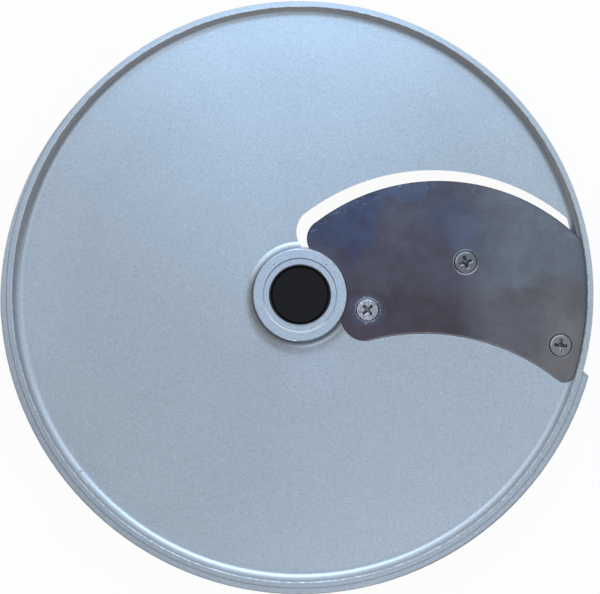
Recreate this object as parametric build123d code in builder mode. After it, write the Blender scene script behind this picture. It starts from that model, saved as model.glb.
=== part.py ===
from build123d import *
from math import cos, degrees, radians, sin
import os

# Slicing disc of a vegetable cutter: one aluminium casting with a raised rim and hub, a sickle
# blade held by three countersunk screws, and a moulded drive bush in the hub.
# Millimetres, +Z up. The origin is on the shaft axis, at the lower end of the hub, and the
# blade lies on the +X side. The disc turns counter-clockwise seen from above.

# Rim
disc_radius = 102.5       # over the outer lip
lip_width = 2.3           # lip, outside the skirt
lip_height = 4.0
lip_drop = 0.5            # step from the top of the rim down to the lip
lip_edge_fillet = 0.6
rim_land = 1.9            # flat ring on top of the rim
wall_lean = 1.3           # the inner wall leans out by this much
cove_radius = 1.6         # inside corner between the plate and the rim
rim_edge_fillet = 0.35
rim_top = 20.0
skirt_bottom = 4.0
skirt_thickness = 2.8
skirt_draft = 0.8

# The outer lip is left out beside the blade: it stops short at one end of that gap, and from the
# other it grows slowly to its full width
lip_gap_start = -15.0
lip_end_slant = 1.8
lip_fade_start = 133.0
lip_fade_end = 207.0

# Plate
plate_underside = 9.0
plate_thickness = 4.0     # where the plate is lowest, ahead of the slot
slice_thickness = 2.0     # the plate climbs by this much on its way round to the blade
ramp_low_angle = 100.0    # the climb starts here, just past the inner end of the slot
ramp_sweep = 220.0
blade_side_angle = 0.0    # a radius that lies under the blade all the way
underside_fillet = 1.5

# Hub
hub_radius = 16.0
hub_height = 6.0          # above the lowest part of the plate
hub_foot_fillet = 2.2
hub_edge_fillet = 0.4
bore_radius = 10.0
bore_chamfer = 0.6
hub_step_radius = 12.4    # a shallow step round the bore
hub_step_depth = 0.4
hub_step_chamfer = 0.3
sleeve_radius = 17.0      # the hub below the plate, at its lower end
sleeve_draft = 1.0

# Drive bush, pressed into the hub from below
bush_radius = 12.4        # its lower end is flush with the hub
bush_fit = 0.1            # clearance all round
bush_shoulder = 13.0      # the height of the shoulder that it seats on
bush_nose_below_hub = 1.8
bush_edge_chamfer = 0.5
socket_radius = 7.5
socket_depth = 14.0
key_width = 4.0
key_depth = 5.0
key_reach = 10.3

# Blade
blade_thickness = 2.5
edge_radius = 69.2        # the cutting edge is an arc
edge_start = (5.7, 25.0)  # where that arc begins, at the tip
edge_start_angle = 127.0  # the arc's radius points this way there
tail_radius = 73.8        # and so is the trailing edge
tail_start = (24.56, -15.36)
tail_start_angle = 104.0
bevel_width = 7.0         # ground on the underside
edge_thickness = 0.35
blade_hub_gap = 0.2
blade_rim_gap = 0.35
seat_gap = 0.2            # round the blade, in its seat in the casting
tip_angle = 79.0          # where the rounded tip meets the hub
tip_reach = (2.3, 19.3)   # the furthest point of the rounded tip
heel_angle = -29.0        # where the rounded heel leaves the hub
heel_reach = (16.2, -13.0)
blade_corner_fillet = 1.0
blade_tail_fillet = 3.6

# Slot ahead of the blade
slot_width = 3.05         # its outer arc is this much larger than the cutting edge's
slot_shift = (-1.77, 0.59)  # and its center lies this far from the cutting edge's
slot_start_angle = 128.2
slot_inner_reach = (-1.2, 22.3)
slot_inner_angle = 87.5   # where the slot meets the hub
blade_overhang = 8.0      # the slot runs on under the blade as far as this
slot_rim_margin = 0.2     # flat floor left between the slot and the cove of the rim
slot_hub_margin = 0.15

# Screws, M4 countersunk: two are set from the hub and the rim, and one lies between them.
# Each has the angle round the disc, and then the angle of its cross recess.
inner_screw_inset = 7.48
middle_screw_share = 0.5086
outer_screw_inset = 6.99
screw_angles = {
    "screw_inner": (-12.7, 42.0),
    "screw_middle": (11.1, 16.0),
    "screw_outer": (-11.0, -6.0),
}
screw_radius = 1.95
screw_length = 10.0
screw_tip_chamfer = 0.5
head_radius = 3.7
head_rim = 0.27           # straight edge of the head, over its cone
head_edge_fillet = 0.2
head_sunk = 0.15          # below the face of the blade
sink_gap = 0.08
shank_clearance = 0.25
tapped_hole_gap = 0.1
recess_span = 4.4
recess_width = 0.95
recess_core_radius = 0.95
recess_depth = 1.5
recess_taper = 12.0
boss_radius = 4.3
boss_bottom = 4.6

# Ribs under the plate
rib_count = 8
rib_start_angle = 30.0
rib_thickness = 3.0
rib_height = 3.6
rib_taper = 3.0


def polar(radius, angle, center=(0, 0)):
    """The point at this radius and angle, in degrees, about a centre."""
    return (
        center[0] + radius * cos(radians(angle)),
        center[1] + radius * sin(radians(angle)),
    )


def radial_plane(angle):
    """The upright plane through the shaft axis: its x runs outward, and its y runs up."""
    across = polar(1, angle - 90)
    return Plane(origin=(0, 0, 0), x_dir=(*polar(1, angle), 0), z_dir=(*across, 0))


# Radii and heights that follow from the sizes above
skirt_radius = disc_radius - lip_width
rim_inner_radius = skirt_radius - rim_land
wall_foot_radius = rim_inner_radius - wall_lean
floor_radius = wall_foot_radius - cove_radius
skirt_inner_radius = skirt_radius - skirt_thickness
lip_top = rim_top - lip_drop
plate_low = plate_underside + plate_thickness
plate_high = plate_low + slice_thickness
wall_foot = plate_high + cove_radius
hub_foot = plate_high + hub_foot_fillet
hub_top = plate_low + hub_height
seat_level = plate_high - blade_thickness
blade_inner_radius = hub_radius + blade_hub_gap
blade_outer_radius = rim_inner_radius - blade_rim_gap
bush_nose_top = hub_top - bush_nose_below_hub
sink_radius = head_radius + head_sunk + head_rim + sink_gap
head_top = plate_high - head_sunk
edge_center = polar(-edge_radius, edge_start_angle, edge_start)
tail_center = polar(-tail_radius, tail_start_angle, tail_start)
slot_center = (edge_center[0] + slot_shift[0], edge_center[1] + slot_shift[1])
slot_radius = edge_radius + slot_width
pad_radius = edge_radius - blade_overhang
screw_circles = {
    "screw_inner": blade_inner_radius + inner_screw_inset,
    "screw_middle": blade_inner_radius
    + middle_screw_share * (blade_outer_radius - blade_inner_radius),
    "screw_outer": blade_outer_radius - outer_screw_inset,
}
screw_places = {name: polar(screw_circles[name], screw_angles[name][0]) for name in screw_angles}
cut_clear = 1.0           # how far a cutting shape runs past what it cuts
floor_cut_trim = 0.05     # keeps the swept cut just inside the turned walls

# Outline of the blade, seen from above. Its two long arcs run on past the rim, to be trimmed there.
with BuildSketch() as blade_outline:
    with BuildLine():
        tip_arc = ThreePointArc(polar(blade_inner_radius, tip_angle), tip_reach, edge_start)
        edge_arc = RadiusArc(tip_arc @ 1, polar(edge_radius, 5, edge_center), edge_radius)
        outer_line = Line(edge_arc @ 1, polar(tail_radius, 25, tail_center))
        tail_arc = RadiusArc(outer_line @ 1, tail_start, -tail_radius)
        heel_arc = ThreePointArc(tail_arc @ 1, heel_reach, polar(blade_inner_radius, heel_angle))
        RadiusArc(heel_arc @ 1, tip_arc @ 0, -blade_inner_radius)
    make_face()
    Circle(blade_outer_radius, mode=Mode.INTERSECT)
    rim_corners = blade_outline.vertices().sort_by(Axis.X)[-2:].sort_by(Axis.Y)
    fillet(rim_corners[0], blade_tail_fillet)
    fillet(blade_outline.vertices().sort_by_distance(rim_corners[1])[0], blade_corner_fillet)

# The slot through the plate, which runs on under the blade
with BuildSketch() as slot_outline:
    with BuildLine():
        slot_arc = RadiusArc(
            polar(slot_radius, slot_start_angle, slot_center),
            polar(slot_radius, 20, slot_center),
            slot_radius,
        )
        end_line = Line(slot_arc @ 1, polar(pad_radius, 20, edge_center))
        pad_arc = RadiusArc(end_line @ 1, polar(pad_radius, 136, edge_center), -pad_radius)
        hub_line = Line(pad_arc @ 1, polar(hub_radius, slot_inner_angle))
        ThreePointArc(hub_line @ 1, slot_inner_reach, slot_arc @ 0)
    make_face()
    Circle(floor_radius - slot_rim_margin, mode=Mode.INTERSECT)
    Circle(hub_radius + slot_hub_margin, mode=Mode.SUBTRACT)

# What is cut away above the plate, seen in section, for a floor at height 0
with BuildSketch(Plane.XZ) as floor_section:
    with BuildLine():
        cut_top = slice_thickness + max(cove_radius, hub_foot_fillet) + cut_clear
        inner = hub_radius + floor_cut_trim
        outer = wall_foot_radius - floor_cut_trim
        floor_line = FilletPolyline(
            (inner, cut_top), (inner, 0), (outer, 0), (outer, cut_top),
            radius=[hub_foot_fillet, cove_radius],
        )
        Line(floor_line @ 1, floor_line @ 0)
    make_face()

# The climbing part of the plate is cut by that section, swept along a helix
with BuildPart() as ramp_cut:
    with BuildLine() as climb:
        Helix(
            pitch=slice_thickness * 360 / ramp_sweep,
            height=slice_thickness,
            radius=(hub_radius + wall_foot_radius) / 2,
        )
    sweep(floor_section.sketch, path=climb.line, is_frenet=True)

with BuildPart() as disc_body:
    # Turned form, still filled up to the foot of the rim's inner wall
    with BuildSketch(Plane.XZ) as body_section:
        with BuildLine():
            sleeve_top_radius = sleeve_radius + sleeve_draft
            skirt_top_radius = skirt_inner_radius - skirt_draft
            profile = FilletPolyline(
                (0, 0),
                (sleeve_radius, 0),
                (sleeve_top_radius, plate_underside),
                (skirt_top_radius, plate_underside),
                (skirt_inner_radius, skirt_bottom),
                (skirt_radius, skirt_bottom),
                (skirt_radius, lip_top - lip_height),
                (disc_radius, lip_top - lip_height),
                (disc_radius, lip_top),
                (skirt_radius, lip_top),
                (skirt_radius, rim_top),
                (rim_inner_radius, rim_top),
                (wall_foot_radius, wall_foot),
                (hub_radius, hub_foot),
                (hub_radius, hub_top),
                (0, hub_top),
                radius=[
                    0.5, underside_fillet, underside_fillet, 0.4, 0.5, 0.3, lip_edge_fillet,
                    lip_edge_fillet, 0, 0.15, rim_edge_fillet, 0, 0, hub_edge_fillet,
                ],
            )
            Line(profile @ 1, profile @ 0)
        make_face()
    revolve(axis=Axis.Z)

    # Ribs from the hub to the skirt
    with BuildSketch(Plane.XY.offset(plate_underside)):
        with PolarLocations((sleeve_radius + skirt_inner_radius) / 2, rib_count, rib_start_angle):
            Rectangle(skirt_inner_radius - sleeve_radius, rib_thickness)
    extrude(amount=-rib_height, taper=rib_taper)

    # Bosses for the screws
    with BuildSketch(Plane.XY.offset(plate_underside)):
        with Locations(*screw_places.values()):
            Circle(boss_radius)
    extrude(amount=boss_bottom - plate_underside, taper=rib_taper)

    # Floor of the plate: low ahead of the slot, climbing round the disc, high behind the blade
    with BuildSketch(radial_plane(blade_side_angle)):
        with Locations((0, plate_low)):
            add(floor_section.sketch_local)
    revolve(axis=Axis.Z, revolution_arc=ramp_low_angle - blade_side_angle, mode=Mode.SUBTRACT)
    with Locations((0, 0, plate_low)):
        add(ramp_cut.part, rotation=(0, 0, ramp_low_angle), mode=Mode.SUBTRACT)
    ramp_high_angle = ramp_low_angle + ramp_sweep
    with BuildSketch(radial_plane(ramp_high_angle)):
        with Locations((0, plate_high)):
            add(floor_section.sketch_local)
    revolve(
        axis=Axis.Z, revolution_arc=360 + blade_side_angle - ramp_high_angle, mode=Mode.SUBTRACT
    )

    # Seat of the blade, up to the hub and the rim
    with BuildSketch(Plane.XY.offset(seat_level)):
        add(blade_outline.sketch_local)
        offset(amount=seat_gap)
        Circle(hub_radius, mode=Mode.SUBTRACT)
    extrude(amount=rim_top - seat_level + cut_clear, mode=Mode.SUBTRACT)

    # Slot
    with BuildSketch(Plane.XY.offset(-cut_clear)):
        add(slot_outline.sketch_local)
    extrude(amount=rim_top + 2 * cut_clear, mode=Mode.SUBTRACT)

    # Tapped holes
    with Locations(*[(x, y, seat_level) for x, y in screw_places.values()]):
        Hole(screw_radius + tapped_hole_gap)

    # Bore, the bush's pocket below it, and the step round the bore
    with Locations((0, 0, hub_top)):
        CounterBoreHole(bore_radius, hub_step_radius, hub_step_depth)
    with BuildSketch():
        Circle(bush_radius + bush_fit)
    extrude(amount=bush_shoulder, mode=Mode.SUBTRACT)

    bore_edges = disc_body.edges().filter_by(GeomType.CIRCLE)
    bore_edges = bore_edges.filter_by(lambda edge: abs(edge.radius - bore_radius) < 0.001)
    chamfer(bore_edges.sort_by(Axis.Z)[-1], bore_chamfer)
    step_edges = disc_body.edges().filter_by(GeomType.CIRCLE)
    step_edges = step_edges.filter_by(lambda edge: abs(edge.radius - hub_step_radius) < 0.001)
    chamfer(step_edges.sort_by(Axis.Z)[-1], hub_step_chamfer)

    # Gap in the outer lip, with one slanted end and one that fades out along an arc
    with BuildSketch(Plane.XY.offset(lip_top - lip_height - cut_clear)):
        with BuildLine():
            gap_radius = disc_radius + cut_clear
            slant = degrees(lip_end_slant / disc_radius)
            gap_arc = CenterArc((0, 0), skirt_radius, lip_gap_start, lip_fade_start - lip_gap_start)
            ThreePointArc(
                gap_arc @ 1,
                polar((skirt_radius + gap_radius) / 2, (lip_fade_start + lip_fade_end) / 2),
                polar(gap_radius, lip_fade_end),
            )
            outer_arc = CenterArc(
                (0, 0), gap_radius, lip_gap_start - slant, lip_fade_end - lip_gap_start + slant
            )
            Line(gap_arc @ 0, outer_arc @ 0)
        make_face()
    extrude(amount=lip_height + lip_drop + 2 * cut_clear, mode=Mode.SUBTRACT)

disc_body.part.label = "disc_body"

with BuildPart() as blade:
    with BuildSketch(Plane.XY.offset(seat_level)):
        add(blade_outline.sketch_local)
    extrude(amount=blade_thickness)
    # Bevel under the cutting edge
    bevel_plane = Plane(origin=(*edge_center, seat_level), x_dir=(1, 0, 0), z_dir=(0, -1, 0))
    with BuildSketch(bevel_plane):
        with BuildLine():
            Polyline(
                (edge_radius - bevel_width, 0),
                (edge_radius, blade_thickness - edge_thickness),
                (edge_radius + cut_clear, blade_thickness - edge_thickness),
                (edge_radius + cut_clear, -cut_clear),
                (edge_radius - bevel_width, -cut_clear),
                close=True,
            )
        make_face()
    revolve(axis=Axis((*edge_center, 0), (0, 0, 1)), mode=Mode.SUBTRACT)
    with Locations(*[(x, y, plate_high) for x, y in screw_places.values()]):
        CounterSinkHole(screw_radius + shank_clearance, sink_radius, counter_sink_angle=90)
blade.part.label = "blade"

with BuildPart() as drive_bush:
    with BuildSketch(Plane.XZ):
        with BuildLine():
            nose_radius = bore_radius - bush_fit
            bush_profile = Polyline(
                (0, socket_depth),
                (socket_radius, socket_depth),
                (socket_radius, 0),
                (bush_radius, 0),
                (bush_radius, bush_shoulder),
                (nose_radius, bush_shoulder),
                (nose_radius, bush_nose_top),
                (0, bush_nose_top),
            )
            Line(bush_profile @ 1, bush_profile @ 0)
        make_face()
    revolve(axis=Axis.Z)
    # Keyways for the shaft's cross pin
    with BuildSketch():
        Rectangle(2 * key_reach, key_width)
    extrude(amount=key_depth, mode=Mode.SUBTRACT)
    nose_edge = drive_bush.edges().filter_by(GeomType.CIRCLE).sort_by(Axis.Z)[-1]
    chamfer(nose_edge, bush_edge_chamfer)
drive_bush.part.label = "drive_bush"

os.makedirs("parts", exist_ok=True)
export_step(disc_body.part, "parts/disc_body.step")
export_step(blade.part, "parts/blade.step")
export_step(drive_bush.part, "parts/drive_bush.step")

for screw_name, (screw_x, screw_y) in screw_places.items():
    recess_angle = screw_angles[screw_name][1]
    with BuildPart() as screw:
        section = Plane(origin=(screw_x, screw_y, 0), x_dir=(1, 0, 0), z_dir=(0, -1, 0))
        with BuildSketch(section):
            with BuildLine():
                cone_top = head_top - head_rim
                cone_bottom = cone_top - (head_radius - screw_radius)
                tip = head_top - screw_length
                screw_profile = Polyline(
                    (0, head_top),
                    (head_radius, head_top),
                    (head_radius, cone_top),
                    (screw_radius, cone_bottom),
                    (screw_radius, tip + screw_tip_chamfer),
                    (screw_radius - screw_tip_chamfer, tip),
                    (0, tip),
                )
                Line(screw_profile @ 1, screw_profile @ 0)
            make_face()
        revolve(axis=Axis((screw_x, screw_y, 0), (0, 0, 1)))
        fillet(screw.edges().sort_by(Axis.Z)[-1], head_edge_fillet)
        with BuildSketch(Plane((screw_x, screw_y, head_top))):
            Rectangle(recess_span, recess_width, rotation=recess_angle)
            Rectangle(recess_width, recess_span, rotation=recess_angle)
            Circle(recess_core_radius)
        extrude(amount=-recess_depth, taper=recess_taper, mode=Mode.SUBTRACT)
    screw.part.label = screw_name
    export_step(screw.part, f"parts/{screw_name}.step")
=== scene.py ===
from math import cos, radians, sin

import bpy
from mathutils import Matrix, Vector


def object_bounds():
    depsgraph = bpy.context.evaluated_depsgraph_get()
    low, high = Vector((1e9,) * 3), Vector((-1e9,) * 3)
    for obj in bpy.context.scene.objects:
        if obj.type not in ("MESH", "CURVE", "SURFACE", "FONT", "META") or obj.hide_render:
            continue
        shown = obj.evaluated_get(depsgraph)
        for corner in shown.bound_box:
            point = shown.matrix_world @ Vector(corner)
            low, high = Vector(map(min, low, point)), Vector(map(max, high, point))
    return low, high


# Looks of the slicing disc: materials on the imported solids, a pale floor, soft light and a camera
# that looks down on the blade side, as in the photograph. Lengths are in metres, except where a
# material counts in millimetres.

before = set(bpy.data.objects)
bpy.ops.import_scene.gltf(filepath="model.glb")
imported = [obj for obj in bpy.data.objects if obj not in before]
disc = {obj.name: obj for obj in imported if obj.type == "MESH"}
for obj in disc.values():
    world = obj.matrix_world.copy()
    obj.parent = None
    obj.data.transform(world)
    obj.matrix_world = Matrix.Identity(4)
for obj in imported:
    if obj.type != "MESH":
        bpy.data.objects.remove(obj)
cad_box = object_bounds()

# Camera
camera_distance = 1.8
camera_tilt = -2.0                           # degrees; the camera stands a little towards +Y
camera_target = Vector((0.0, -0.00085, 0.014))
view_width = 0.2055                          # at the target
sensor_width = 36.0                          # millimetres

# Light
glow_place = Vector((-0.004, 0.105, 0.25))   # the soft highlight at the +Y side of the plate
glow_size, glow_power = 0.10, 0.054
window_place = Vector((0.12, 0.45, 0.75))    # gives the soft shadows on the -Y side
window_size, window_power = 0.45, 1.6
fill_place = Vector((0.10, -0.30, 0.45))     # lifts the -Y half of the plate a little
fill_size, fill_power = 0.30, 0.42
sky_color = (0.52, 0.76, 1.0)
fill_color = (0.80, 0.90, 1.0)
light_behind, light_ahead = 0.38, 1.02       # the soft light from -Y and from +Y
backdrop_white = 1.0                         # how bright the backdrop is to the camera

# Floor
floor_size = 6
floor_gap = 0.0002                           # below the disc
floor_color = (0.8, 0.8, 0.8, 1)
floor_glow = 0.95                            # how white the floor is where no light reaches it

# Sizes of the part that its materials follow, in millimetres
bore_radius, hub_step_radius, hub_radius = 10.0, 12.4, 16.0
cove_inner_radius, wall_foot_radius = 95.4, 97.0   # where the cove under the rim begins and ends
rim_inner_radius, lip_step_radius = 98.3, 100.2
plate_low, plate_high, hub_top, rim_top = 13.0, 15.0, 19.0, 20.0
edge_center, edge_radius = (47.35, -30.27), 69.2   # the arc of the cutting edge
tail_center, tail_radius = (42.41, -86.97), 73.8   # and of the trailing edge
screw_names = ["screw_inner", "screw_middle", "screw_outer"]
head_radius, head_top, sink_radius = 3.7, 14.85, 4.15
recess_radius, recess_depth = 2.2, 1.5

# Shading of the casting, in millimetres where nothing else is said
foot_shadow_shift = 2.6                             # the painted shadow at the hub's foot reaches this much further out at -Y
mouth_squeeze = 0.955                        # a share; the painted shade at the bore's mouth reaches further at +-X
cove_lean = 52.0                             # degrees; the most that the cove's normals lean
cove_side_shift = 0.4                        # they start to lean this much further in at +-X
cove_corner_scale = 120.0                    # and further still between there and +Y

mm_in_metre = 1000

# Where a Mix node has its two inputs and its output, for each kind of value
mix_sockets = {"FLOAT": (2, 3, 0), "VECTOR": (4, 5, 1), "RGBA": (6, 7, 2)}


def middle_mm(node):
    """The middle of a node, seen from above, in mm."""
    corners = [Vector(corner) for corner in node.bound_box]
    middle = node.matrix_world @ (sum(corners, Vector()) / len(corners)) * mm_in_metre
    return (middle.x, middle.y)


screw_places = [middle_mm(disc[name]) for name in screw_names]
inner_screw, middle_screw, outer_screw = screw_places


def tint(red, green, blue):
    """A colour that is read as 0 to 255 on the screen, as the linear colour of a material."""
    levels = [v / 255 for v in (red, green, blue)]
    return (*[v / 12.92 if v <= 0.04045 else ((v + 0.055) / 1.055) ** 2.4 for v in levels], 1.0)


class Tree:
    """The nodes of a material or of the world, with short calls for the kinds used here."""

    def __init__(self, owner):
        owner.use_nodes = True
        self.nodes, self.links = owner.node_tree.nodes, owner.node_tree.links

    def put(self, socket, value):
        """Gives a socket a number, a colour or another node's output."""
        if isinstance(value, bpy.types.NodeSocket):
            self.links.new(value, socket)
        else:
            socket.default_value = value

    def node(self, kind, inputs=None, **settings):
        """A new node with these settings, and with these inputs by name or by number."""
        made = self.nodes.new(kind)
        for name, value in settings.items():
            setattr(made, name, value)
        for name, value in (inputs or {}).items():
            self.put(made.inputs[name], value)
        return made

    def mix(self, kind, share, first, second):
        """The first value where the share is 0, and the second where it is 1."""
        first_at, second_at, output_at = mix_sockets[kind]
        inputs = {"Factor": share, first_at: first, second_at: second}
        return self.node("ShaderNodeMix", inputs, data_type=kind).outputs[output_at]

    def math(self, operation, *values):
        """The result of a sum or another operation on numbers."""
        inputs = dict(enumerate(values))
        return self.node("ShaderNodeMath", inputs, operation=operation).outputs[0]

    def fold(self, operation, values):
        """Takes the first two values together, then their result and the next, and so on."""
        result, *others = values
        for value in others:
            result = self.math(operation, result, value)
        return result

    def both(self, *masks):
        """The product of several masks or numbers."""
        return self.fold("MULTIPLY", masks)

    def either(self, *masks):
        """The largest of several masks."""
        return self.fold("MAXIMUM", masks)

    def total(self, *values):
        """The sum of several values."""
        return self.fold("ADD", values)


class Shader(Tree):
    """A material, with masks that go by the place on the part. Places and widths are in mm."""

    def __init__(self, name):
        self.material = bpy.data.materials.new(name)
        super().__init__(self.material)
        place = self.node("ShaderNodeTexCoord").outputs["Object"]
        self.place = self.vector("SCALE", place, scale=mm_in_metre)
        self.flat = self.vector("MULTIPLY", self.place, (1, 1, 0))
        # Turned off the axes, so that noise doesn't fade where a level face meets its cells
        self.turned = self.node(
            "ShaderNodeVectorRotate",
            {"Vector": self.place, "Rotation": (0.6, 0.5, 0.4)},
            rotation_type="EULER_XYZ",
        ).outputs[0]
        axes = self.node("ShaderNodeSeparateXYZ", {"Vector": self.place}).outputs
        self.x, self.y, self.z = axes["X"], axes["Y"], axes["Z"]

    def set(self, **values):
        """Gives the surface these values, with underscores for the spaces in their names."""
        for name, value in values.items():
            self.put(self.nodes["Principled BSDF"].inputs[name.replace("_", " ")], value)

    def vector(self, operation, *values, scale=None):
        """The result of an operation on vectors, which is a number or a vector."""
        inputs = dict(enumerate(values))
        if scale is not None:
            inputs["Scale"] = scale
        made = self.node("ShaderNodeVectorMath", inputs, operation=operation)
        single = operation in ("LENGTH", "DISTANCE", "DOT_PRODUCT")
        return made.outputs["Value" if single else "Vector"]

    def noise(self, size, detail=2.0, roughness=0.5, distortion=0.0, stretch=(1, 1, 1), seed=0.0):
        """Noise from 0 to 1, with blotches about this many mm across."""
        place = self.place if size > 1 else self.turned
        made = self.node(
            "ShaderNodeTexNoise",
            {
                "Vector": self.vector("MULTIPLY_ADD", place, stretch, (seed, seed, seed)),
                "Scale": 1 / size,
                "Detail": detail,
                "Roughness": roughness,
                "Distortion": distortion,
            },
        )
        return made.outputs["Fac"]

    def step(self, value, low, high, start=0.0, end=1.0):
        """Goes smoothly from start to end as the value goes from low up to high."""
        made = self.node(
            "ShaderNodeMapRange",
            {"Value": value, "From Min": low, "From Max": high, "To Min": start, "To Max": end},
            interpolation_type="SMOOTHSTEP",
        )
        return made.outputs["Result"]

    def fall(self, value, low, high):
        """1 below low, and 0 above high."""
        return self.step(value, low, high, 1, 0)

    def spread(self, noise, start, end):
        """The usual range of a noise, spread from start to end."""
        return self.step(noise, 0.3, 0.7, start, end)

    def band(self, value, middle, half, soft):
        """1 within half of the middle, and 0 further off."""
        away = self.math("ABSOLUTE", self.math("SUBTRACT", value, middle))
        return self.fall(away, half, half + soft)

    def away(self, center):
        """Distance from an upright axis through this place."""
        return self.vector("DISTANCE", self.flat, (*center, 0))

    def nearest(self, centers):
        """Distance from the nearest of several upright axes."""
        return self.fold("MINIMUM", [self.away(center) for center in centers])

    def spot(self, center, radius, soft, wobble=None):
        """1 within the radius of a place, 0 beyond it; wobble is added to the distance."""
        away = self.away(center)
        if wobble is not None:
            away = self.math("ADD", away, wobble)
        return self.fall(away, radius, radius + soft)

    def arc(self, center, radius, half, soft, way):
        """1 on the part of a ring that lies this way, in degrees from the +X side."""
        lean = (cos(radians(way)), sin(radians(way)), 0)
        reach = self.vector("DOT_PRODUCT", self.vector("SUBTRACT", self.flat, (*center, 0)), lean)
        return self.both(
            self.band(self.away(center), radius, half, soft),
            self.step(reach, radius * 0.3, radius * 0.8),
        )

    def scratch(self, start, end, half):
        """1 along a straight line from start to end, with tapering ends."""
        way = Vector(end) - Vector(start)
        along, across = way.normalized(), way.orthogonal().normalized()
        from_start = self.vector("SUBTRACT", self.flat, (*start, 0))
        reach = self.vector("DOT_PRODUCT", from_start, (*along, 0))
        aside = self.vector("DOT_PRODUCT", from_start, (*across, 0))
        ends = self.band(reach, way.length / 2, way.length * 0.3, way.length * 0.2)
        return self.both(self.band(aside, 0, half * 0.4, half * 0.6), ends)

    def layers(self, base, *layers):
        """Colours laid over each other, each as a mask, a strength and a colour."""
        color = base
        for mask, strength, over in layers:
            color = self.mix("RGBA", self.both(mask, strength), color, over)
        return color

    def shade(self, color, value):
        """The colour times a number."""
        return self.vector("SCALE", color, scale=value)

    def relief(self, *heights, under=None):
        """Relief on relief, each as a height from 0 to 1 and its depth in mm."""
        for height, depth in heights:
            inputs = {"Height": height, "Distance": depth / mm_in_metre, "Strength": 1.0}
            if under is not None:
                inputs["Normal"] = under
            under = self.node("ShaderNodeBump", inputs).outputs["Normal"]
        return under

    def leaned(self, radius, angle, share):
        """Normals that lean by this angle towards the axis, where the share is 1."""
        inward = self.math("DIVIDE", self.math("SINE", angle), radius)
        lean = self.vector("SCALE", self.flat, scale=self.both(inward, -1.0))
        upright = self.node("ShaderNodeCombineXYZ", {"Z": self.math("COSINE", angle)}).outputs[0]
        leaning = self.node(
            "ShaderNodeVectorTransform",
            {"Vector": self.vector("ADD", lean, upright)},
            vector_type="NORMAL",
            convert_from="OBJECT",
            convert_to="WORLD",
        ).outputs[0]
        own = self.node("ShaderNodeNewGeometry").outputs["Normal"]
        return self.vector("NORMALIZE", self.mix("VECTOR", share, own, leaning))


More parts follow.
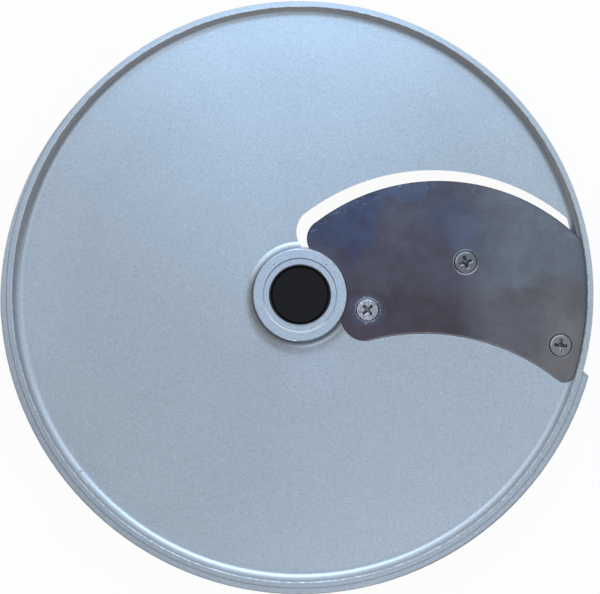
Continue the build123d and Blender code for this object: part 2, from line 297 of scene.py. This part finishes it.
def cast_aluminium():
    """Satin casting: fine speckled grain, faint clouds, scratches, and edges rubbed bright, with
    painted light and shade at the rim, the hub and the bore.
    """
    s = Shader("cast_aluminium")
    radius = s.away((0, 0))
    grain = s.noise(0.22, detail=1, roughness=0.8)
    mottle = s.noise(1.4, detail=3, seed=40)
    clouds = s.noise(34, detail=3, seed=7)
    wear = s.noise(2.2, detail=4, roughness=0.7, seed=21)

    # The hub: its top with the step round the bore, its side with a painted highlight towards +Y,
    # and painted shadow round its foot
    on_hub = s.step(s.z, hub_top - 0.6, hub_top - 0.3)
    on_hub = s.both(on_hub, s.fall(radius, hub_radius + 1, hub_radius + 2))
    # The step round the bore gets painted shade on its +Y half and a painted glint on its -Y half
    ring = s.both(s.band(radius, hub_step_radius + 0.2, 0.12, 0.15), on_hub)
    ring_glint = s.both(ring, s.fall(s.y, -7, -1), s.fall(s.x, 6, 10))
    by_plate = s.fall(s.z, plate_high + 1, plate_high + 2)
    # Painted highlight on the hub's side and foot fillet towards +Y
    hub_side_highlight = s.fall(radius, hub_radius + 1.6, hub_radius + 2.4)
    hub_side_highlight = s.both(hub_side_highlight, s.step(s.y, 2, 12), by_plate)
    hub_side_highlight = s.both(hub_side_highlight, s.step(radius, hub_radius - 0.3, hub_radius - 0.2))
    # Painted shadow round the hub's foot, reaching further out towards -Y
    ahead = s.both(s.math("DIVIDE", s.y, radius), foot_shadow_shift)
    foot_shadow = s.fall(s.math("ADD", radius, ahead), hub_radius + 0.6, hub_radius + 3.4)
    foot_shadow = s.both(foot_shadow, by_plate, s.fall(radius, hub_radius + 6, hub_radius + 7))

    # Painted shade darkens the mouth of the bore, more so at its sides
    squeezed = s.vector("LENGTH", s.vector("MULTIPLY", s.flat, (mouth_squeeze, 1, 0)))
    mouth_shade = s.fall(squeezed, bore_radius + 0.05, bore_radius + 0.3)

    # The rim: its top, the step down to the lip, and inside it the wall and the cove; painted shade
    # lies on the land, in the step and on the wall, and a painted highlight in the cove
    on_rim = s.step(s.z, rim_top - 1.2, rim_top - 0.7)
    # Painted shade on the rim's land towards -Y
    land_shade = s.step(radius, rim_inner_radius + 0.1, rim_inner_radius + 0.3)
    land_shade = s.both(land_shade, s.fall(s.y, -20, 20))
    # Painted shade in the step down to the lip
    lip_shade_line = s.both(s.band(radius, lip_step_radius + 0.15, 0.1, 0.2), on_rim)
    upper_side = s.step(s.z, plate_low - 0.5, plate_low - 0.2)
    inside = s.both(upper_side, s.fall(radius, rim_inner_radius, rim_inner_radius + 0.2))
    # Painted highlight in the cove towards -Y
    cove_highlight = s.step(radius, cove_inner_radius + 0.2, cove_inner_radius + 1.2)
    cove_highlight = s.both(cove_highlight, s.fall(s.y, -60, 10), inside)
    # Painted shade on the wall, darker towards -Y, with a warm painted shadow towards +Y
    wall_shade = s.both(s.step(radius, wall_foot_radius - 0.7, wall_foot_radius + 0.6), inside)
    # Painted shade at the wall's foot towards +Y
    wall_foot_shade = s.band(radius, wall_foot_radius - 0.5, 0.3, 0.7)
    wall_foot_shade = s.both(wall_foot_shade, s.step(s.y, 0, 40), inside)

    # The turned cove runs softly into the plate and the wall, as its normals lean more and more
    at_cove = s.step(radius, cove_inner_radius - 2.2, cove_inner_radius - 1.6)
    at_cove = s.both(at_cove, s.fall(s.z, rim_top - 0.3, rim_top - 0.1), upper_side)
    at_cove = s.both(at_cove, s.fall(radius, rim_inner_radius + 0.1, rim_inner_radius + 0.2))
    sideways = s.math("POWER", s.math("DIVIDE", s.x, radius), 2.0)
    corner = s.both(s.math("ABSOLUTE", s.x), s.math("MAXIMUM", s.y, 0.0))
    reach = s.math("MULTIPLY_ADD", sideways, cove_side_shift, radius)
    reach = s.math("ADD", reach, s.math("DIVIDE", corner, s.both(radius, cove_corner_scale)))
    lean = s.step(reach, cove_inner_radius - 0.6, rim_inner_radius + 0.2, 0, radians(cove_lean))

    # Rubbed edges that are partly worn and partly a painted highlight, painted shade in the
    # corners, and a few specks
    rim_edge = s.both(s.band(radius, rim_inner_radius + 0.05, 0.12, 0.25), on_rim)
    hub_edge = s.both(s.band(radius, hub_radius - 0.2, 0.1, 0.2), on_hub)
    # The rubbed edges are worn metal and also a painted highlight
    rubbed_and_highlit = s.both(s.either(rim_edge, hub_edge), s.step(wear, 0.4, 0.6))
    # Painted shade at the lip step and painted shadow at the hub's foot, and their colour
    painted_shade = s.either(s.both(lip_shade_line, 0.6), foot_shadow)
    painted_shade_color = tint(112, 106, 104)
    specks = s.step(s.noise(0.7, detail=1, seed=61), 0.76, 0.8)
    pits = s.either(*[s.spot((x, 10.4), 0.16, 0.2) for x in (-9.0, 9.0)])
    nick = s.spot((-75.2, -60.6), 0.3, 0.6, s.spread(wear, -0.4, 0.4))
    dark = s.either(specks, s.both(pits, on_hub), nick)

    # Scratches from use
    scratches = s.either(*[
        s.scratch(start, end, half)
        for start, end, half in (
            ((-44.0, -54.6), (-42.0, -56.4), 0.2),
            ((-38.0, -50.0), (-37.2, -50.9), 0.16),
            ((23.6, -50.2), (25.0, -50.8), 0.16),
            ((18.2, -62.2), (19.6, -62.7), 0.16),
            ((-74.5, -62.8), (-72.4, -65.2), 0.25),
            ((-60.0, 32.0), (-57.0, 34.5), 0.12),
        )
    ])

    # How light the metal is, and its colours, with painted light and shade on the cove, wall, land,
    # outer plate, hub and bore
    # Painted light on the outer plate towards -Y
    outer_plate_light = s.both(s.step(radius, 70, 94), s.step(s.y, -60, 0))
    level = s.total(
        s.spread(grain, 0.72, 1.28),
        s.spread(mottle, -0.012, 0.012),
        s.spread(clouds, -0.015, 0.015),
        s.both(cove_highlight, 0.5),
        s.both(wall_shade, s.step(s.y, -80, 60, -0.42, 0)),
        s.both(outer_plate_light, 0.08),
        s.both(land_shade, -0.1),
        s.both(wall_foot_shade, -0.34),
        s.both(hub_side_highlight, 0.6),
        s.both(on_hub, 0.08),
    )
    color = s.layers(
        tint(170, 181, 193),
        # Painted shade at the lip step and painted shadow at the hub's foot
        (painted_shade, 0.55, painted_shade_color),
        # Warm painted shadow on the wall towards +Y
        (s.both(wall_shade, s.step(s.y, -10, 50)), 0.7, tint(180, 171, 162)),
        # Painted sheen on the plate to the lower right of the hub
        (s.spot((6, -25), 2, 16), 0.5, tint(176, 190, 208)),
        (on_hub, 1, tint(169, 183, 200)),
        # Painted shade at the bore's mouth
        (mouth_shade, 0.9, tint(54, 50, 52)),
        # Painted shade on the +Y half of the step round the bore
        (s.both(ring, s.step(s.y, 3, 9)), 0.6, painted_shade_color),
        (dark, 0.6, tint(84, 86, 92)),
        # Edges worn bright and painted as highlights
        (rubbed_and_highlit, 0.6, tint(224, 232, 240)),
        (ring_glint, 1, tint(236, 246, 255)),
        (scratches, 0.35, tint(220, 228, 236)),
    )
    soft = s.leaned(radius, lean, at_cove)
    s.set(
        Base_Color=s.shade(color, level),
        Metallic=1.0,
        Roughness=s.total(s.spread(grain, 0.35, 0.41), s.both(rubbed_and_highlit, -0.12)),
        Normal=s.relief((mottle, 0.015), (grain, 0.012), (scratches, -0.05), under=soft),
    )
    return s.material


def blade_steel():
    """Polished steel painted dark, with painted reflections in clouds of blue and brown, and smears
    along the edge.
    """
    s = Shader("blade_steel")
    wobble = s.step(s.noise(15, detail=4, roughness=0.6, distortion=0.4, seed=3), 0.25, 0.75, -5, 5)
    gentle = s.both(wobble, 0.3)
    wisps = s.noise(7, detail=5, roughness=0.65, seed=11)
    fine = s.noise(0.5, detail=2, seed=5)

    # Large clouds of painted reflection
    x, y = s.math("ADD", s.x, wobble), s.math("ADD", s.y, wobble)
    inset = s.math("SUBTRACT", edge_radius, s.away(edge_center))
    left = s.spot((12, 28), 11, 9, wobble)
    strip = s.both(s.fall(s.math("ADD", inset, wobble), 5, 8), s.fall(x, 42, 56))
    right = s.step(s.math("MULTIPLY_ADD", wobble, 0.5, s.x), 50, 74)
    corner = s.both(s.step(x, 74, 92), s.fall(y, -12, 6))
    lower = s.both(s.fall(y, -3, 6), s.fall(x, 50, 72))

    # Pale smears just behind the cutting edge
    streaks = s.noise(2.4, detail=5, roughness=0.7, distortion=1.2, stretch=(0.6, 1.3, 1), seed=17)
    smears = s.both(s.step(streaks, 0.52, 0.7), s.fall(inset, 0.6, 5.5))
    dots = s.both(s.step(s.noise(1.1, detail=2, seed=33), 0.72, 0.78), s.fall(inset, 4, 9))

    # Thin lines along the cutting edge and the trailing edge
    edge_line = s.band(inset, 0.1, 0.15, 0.15)
    tail_inset = s.math("SUBTRACT", s.away(tail_center), tail_radius)
    on_top = s.step(s.z, plate_high - 0.25, plate_high - 0.1)
    tail_line = s.both(s.band(tail_inset, 0.1, 0.12, 0.18), on_top)

    # Bright metal in the countersinks, with crumbs of it round the worn screw, and painted glints
    # on their edges
    sinks = s.fall(s.nearest(screw_places), sink_radius, sink_radius + 0.25)
    worn = s.noise(0.8, detail=3, roughness=0.7, seed=51)
    crumbs = s.both(s.spot(inner_screw, sink_radius + 0.15, 1.0), s.step(worn, 0.56, 0.64))
    glints = s.either(
        s.arc(middle_screw, sink_radius, 0.1, 0.2, 280),
        s.arc(middle_screw, sink_radius, 0.05, 0.2, 125),
        s.arc(inner_screw, sink_radius - 0.05, 0.1, 0.25, 95),
    )

    # Painted reflections first: the dark base, the clouds and the spots round them
    color = s.layers(
        tint(84, 84, 97),
        (lower, 0.9, tint(77, 72, 83)),
        (strip, 0.9, tint(80, 91, 115)),
        (left, 1, tint(70, 79, 104)),
        (s.spot((51, 27), 4, 9, wobble), 0.65, tint(82, 93, 118)),
        (s.spot((58, 18.5), 2, 9, wobble), 0.5, tint(88, 98, 120)),
        (s.spot((33.5, 24), 5, 5, wobble), 0.5, tint(88, 90, 104)),
        (right, 1, tint(106, 114, 125)),
        (s.both(right, s.fall(y, 0, 8)), 0.8, tint(98, 97, 105)),
        (corner, 0.9, tint(116, 116, 120)),
        (s.spot((21.3, 24.8), 0.8, 1.6), 0.5, tint(78, 66, 76)),
        (s.spot((8.5, 17.6), 0.6, 1.8, gentle), 0.6, tint(76, 66, 78)),
        (s.spot((13.5, 14), 1.0, 3.2, s.both(wobble, 0.4)), 0.7, tint(76, 71, 82)),
        (s.spot((15.5, 6), 1.0, 3, gentle), 0.25, tint(84, 90, 110)),
        (s.spot(inner_screw, 4.5, 2.2, gentle), 0.35, tint(90, 98, 126)),
        (smears, 0.5, tint(128, 138, 158)),
        (dots, 0.5, tint(140, 148, 164)),
        (s.scratch((33.4, 36.8), (35.8, 38.2), 0.3), 0.5, tint(140, 150, 166)),
        (edge_line, 0.5, tint(52, 56, 66)),
        (tail_line, 0.6, tint(150, 142, 146)),
        (sinks, 0.85, tint(138, 146, 160)),
        (crumbs, 0.9, tint(176, 182, 190)),
        (glints, 0.8, tint(186, 200, 216)),
    )
    level = s.total(s.spread(wisps, 1.08, 1.16), s.spread(fine, -0.03, 0.03))
    s.set(
        Base_Color=s.shade(color, level),
        Metallic=1.0,
        Roughness=s.total(s.spread(wisps, 0.24, 0.34), s.both(smears, 0.1)),
        Normal=s.relief((fine, 0.004)),
    )
    return s.material


def screw_steel():
    """Plain steel screws with painted shade in their recesses and painted glints; the one by the
    hub is chewed up.
    """
    s = Shader("screw_steel")
    wear = s.noise(1.0, detail=4, roughness=0.65, seed=2)
    fine = s.noise(0.25, detail=2, seed=9)
    inner_head, outer_head = [
        s.spot(place, head_radius + 0.1, 0.1) for place in (inner_screw, outer_screw)
    ]
    chewed = s.step(s.noise(0.7, detail=4, seed=71), 0.5, 0.6)
    chewed = s.both(s.spot(inner_screw, head_radius - 0.7, 1.2), chewed)
    recess = s.fall(s.nearest(screw_places), recess_radius + 0.15, recess_radius + 0.25)
    recess = s.both(recess, s.fall(s.z, head_top - 0.35, head_top - 0.1))
    bottom = head_top - recess_depth
    at_bottom = s.fall(s.z, bottom + 0.05, bottom + 0.15)
    glint = s.either(*[s.arc(place, head_radius - 0.45, 0.05, 0.3, 125) for place in screw_places])
    # Painted glints in the recesses, as short bright bars
    recess_glints = s.either(*[
        s.scratch((x + start_x, y + start_y), (x + end_x, y + end_y), 0.35)
        for (x, y), start_x, start_y, end_x, end_y in (
            (inner_screw, -1.0, -1.9, 0.4, -0.9),
            (inner_screw, -0.4, -1.4, 0.9, -1.3),
            (middle_screw, 0.2, -2.3, 1.4, -1.7),
            (middle_screw, -2.0, -0.9, -0.7, -1.0),
            (middle_screw, 1.1, -0.3, 2.6, 0.3),
            (outer_screw, -0.7, -1.1, 0.7, -1.1),
            (outer_screw, -0.1, -2.1, 0.0, -0.7),
        )
    ])
    color = s.layers(
        tint(116, 120, 127),
        (inner_head, 0.9, tint(158, 163, 172)),
        (outer_head, 0.6, tint(146, 146, 148)),
        (chewed, 0.5, tint(206, 212, 222)),
        # Painted shade in the recesses
        (recess, 0.75, tint(44, 46, 54)),
        (s.both(recess, inner_head), 0.6, tint(112, 104, 104)),
        # Painted glints on the heads' rims and in the recesses
        (glint, 0.6, tint(206, 216, 230)),
        (recess_glints, 0.85, tint(226, 234, 242)),
        (s.both(recess, at_bottom, s.step(wear, 0.45, 0.6)), 0.6, tint(150, 156, 166)),
    )
    s.set(
        Base_Color=s.shade(color, s.spread(wear, 0.88, 1.1)),
        Metallic=1.0,
        Roughness=s.spread(fine, 0.22, 0.34),
        Normal=s.relief((fine, 0.008), (wear, 0.02), (chewed, 0.04)),
    )
    return s.material


def black_plastic():
    """Matt moulded plastic of the drive bush."""
    s = Shader("black_plastic")
    grain = s.noise(0.4, detail=3, seed=4)
    s.set(
        Base_Color=s.shade(tint(18, 18, 20)[:3], s.spread(grain, 0.75, 1.3)),
        Specular_IOR_Level=0.15,
        Roughness=s.spread(grain, 0.5, 0.65),
        Normal=s.relief((grain, 0.03)),
    )
    return s.material


def dress(names, material):
    """Gives CAD nodes a better material, in place of their own."""
    for name in names:
        disc[name].data.materials.clear()
        disc[name].data.materials.append(material)


dress(["disc_body"], cast_aluminium())
dress(["blade"], blade_steel())
dress(screw_names, screw_steel())
dress(["drive_bush"], black_plastic())


def white_floor():
    """White wherever the camera or a reflection sees it, with a faint shadow of the object."""
    material = bpy.data.materials.new("floor")
    tree = Tree(material)
    tree.nodes.clear()
    plain = tree.node("ShaderNodeBsdfDiffuse", {"Color": floor_color}).outputs[0]
    glow = tree.node("ShaderNodeEmission").outputs[0]
    seen = tree.node("ShaderNodeLightPath").outputs
    share = tree.both(tree.either(seen["Is Camera Ray"], seen["Is Glossy Ray"]), floor_glow)
    surface = tree.node("ShaderNodeMixShader", {"Fac": share, 1: plain, 2: glow}).outputs[0]
    tree.node("ShaderNodeOutputMaterial", {"Surface": surface})
    return material


def studio_world():
    """Soft light from all round, stronger from +Y, which the camera sees as a white backdrop."""
    world = bpy.data.worlds.new("studio")
    tree = Tree(world)
    way = tree.node("ShaderNodeTexCoord").outputs["Generated"]
    ahead = tree.node("ShaderNodeSeparateXYZ", {"Vector": way}).outputs["Y"]
    soft = tree.node(
        "ShaderNodeMapRange",
        {"Value": ahead, "From Min": -1.0, "To Min": light_behind, "To Max": light_ahead},
    ).outputs["Result"]
    seen = tree.node("ShaderNodeLightPath").outputs["Is Camera Ray"]
    background = tree.nodes["Background"].inputs
    tree.put(background["Strength"], tree.mix("FLOAT", seen, soft, backdrop_white))
    tree.put(background["Color"], (1, 1, 1, 1))
    return world


def area_light(name, place, size, power, color):
    """A square lamp that faces the origin and is hidden from the camera."""
    lamp = bpy.data.lights.new(name, "AREA")
    lamp.shape, lamp.size, lamp.energy, lamp.color = "SQUARE", size, power, color
    light = bpy.data.objects.new(name, lamp)
    light.location = place
    light.rotation_euler = (-place).to_track_quat("-Z", "Y").to_euler()
    light.visible_camera = False
    bpy.context.scene.collection.objects.link(light)


# The floor lies just under the disc
bpy.ops.mesh.primitive_plane_add(size=floor_size, location=(0, 0, cad_box[0].z - floor_gap))
floor = bpy.context.object
floor.name = "floor"
floor.data.materials.append(white_floor())

bpy.context.scene.world = studio_world()
area_light("glow", glow_place, glow_size, glow_power, sky_color)
area_light("window", window_place, window_size, window_power, sky_color)
area_light("fill", fill_place, fill_size, fill_power, fill_color)

# The camera looks down on the blade side
lens = bpy.data.cameras.new("camera")
lens.sensor_width = sensor_width
lens.lens = sensor_width * camera_distance / view_width
camera = bpy.data.objects.new("camera", lens)
tilt = radians(camera_tilt)
camera.location = camera_target + camera_distance * Vector((0, -sin(tilt), cos(tilt)))
camera.rotation_euler = (tilt, 0, 0)
bpy.context.scene.collection.objects.link(camera)
bpy.context.scene.camera = camera
bpy.context.scene.view_settings.view_transform = "Standard"
